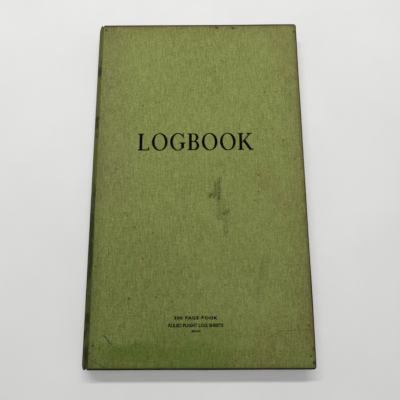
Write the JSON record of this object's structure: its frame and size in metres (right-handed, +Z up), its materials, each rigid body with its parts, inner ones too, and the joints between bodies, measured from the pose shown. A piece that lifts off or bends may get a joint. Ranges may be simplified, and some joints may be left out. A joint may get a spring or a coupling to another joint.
{
  "type": "hardcover log book",
  "caption": "Cloth-covered hardcover log book with rounded spine, joint grooves, hinged covers, flyleaves, loose leaves and sewn sections.",
  "frame": {"origin": "centre of the closed book's footprint, on the outer face of the back cover", "axes": "+X from the spine to the fore edge, +Y from the tail to the head, +Z up from the back cover to the front cover"},
  "size_m": [0.218, 0.3556, 0.021],
  "materials": {
    "cover_cloth": "sage green book cloth, plain weave, worn and foxed",
    "binders_board": "grey binder's board",
    "spine_card": "manila card",
    "liner_paper": "brown kraft paper",
    "endpaper": "cream endpaper, aged",
    "text_paper": "ruled writing paper, slightly aged",
    "super_gauze": "open starched gauze",
    "thread": "linen sewing thread"
  },
  "bodies": {
    "text_block": {"signature_01": "text_paper", "signature_02": "text_paper", "signature_03": "text_paper", "signature_04": "text_paper", "signature_05": "text_paper", "signature_06": "text_paper", "signature_07": "text_paper", "signature_08": "text_paper", "signature_09": "text_paper", "signature_10": "text_paper", "signature_11": "text_paper", "signature_12": "text_paper", "signature_13": "text_paper", "signature_14": "text_paper", "signature_15": "text_paper", "sewing_thread": "thread", "spine_super": "super_gauze", "spine_liner": "liner_paper", "spine_inlay": "spine_card", "spine_cloth": "cover_cloth", "front_joint_cloth": "cover_cloth", "back_joint_cloth": "cover_cloth"},
    "front_cover": {"front_board": "binders_board", "front_cover_cloth": "cover_cloth", "front_pastedown": "endpaper", "front_super_flap": "super_gauze"},
    "front_flyleaf": {"front_flyleaf": "endpaper"},
    "back_cover": {"back_board": "binders_board", "back_cover_cloth": "cover_cloth", "back_pastedown": "endpaper", "back_super_flap": "super_gauze"},
    "back_flyleaf": {"back_flyleaf": "endpaper"},
    "leaf_1": {"leaf_1": "text_paper"},
    "leaf_2": {"leaf_2": "text_paper"},
    "leaf_3": {"leaf_3": "text_paper"}
  },
  "joints": [
    {"name": "front_cover_hinge", "type": "hinge", "parent": "text_block", "child": "front_cover", "pos_m": [-0.1033, 0, 0.0206], "axis": [0, -1, 0], "range_deg": [0, 180]},
    {"name": "back_cover_hinge", "type": "hinge", "parent": "text_block", "child": "back_cover", "pos_m": [-0.1033, 0, 0.0004], "axis": [0, 1, 0], "range_deg": [0, 180]},
    {"name": "front_flyleaf_turn", "type": "hinge", "parent": "text_block", "child": "front_flyleaf", "pos_m": [-0.1033, 0, 0.0206], "axis": [0, -1, 0], "range_deg": [0, 179.69]},
    {"name": "leaf_1_turn", "type": "hinge", "parent": "text_block", "child": "leaf_1", "pos_m": [-0.1033, 0, 0.0206], "axis": [0, -1, 0], "range_deg": [0, 179.24]},
    {"name": "leaf_2_turn", "type": "hinge", "parent": "text_block", "child": "leaf_2", "pos_m": [-0.1033, 0, 0.0206], "axis": [0, -1, 0], "range_deg": [0, 178.79]},
    {"name": "leaf_3_turn", "type": "hinge", "parent": "text_block", "child": "leaf_3", "pos_m": [-0.1033, 0, 0.0206], "axis": [0, -1, 0], "range_deg": [0, 178.34]},
    {"name": "back_flyleaf_turn", "type": "hinge", "parent": "text_block", "child": "back_flyleaf", "pos_m": [-0.1033, 0, 0.0004], "axis": [0, 1, 0], "range_deg": [0, 179.51]}
  ],
  "couplings": [
    {"joint": "front_flyleaf_turn", "follows": "front_cover_hinge", "ratio": 0.998},
    {"joint": "leaf_1_turn", "follows": "front_cover_hinge", "ratio": 0.9955},
    {"joint": "leaf_2_turn", "follows": "front_cover_hinge", "ratio": 0.993},
    {"joint": "leaf_3_turn", "follows": "front_cover_hinge", "ratio": 0.9905},
    {"joint": "back_flyleaf_turn", "follows": "back_cover_hinge", "ratio": 0.997}
  ]
}
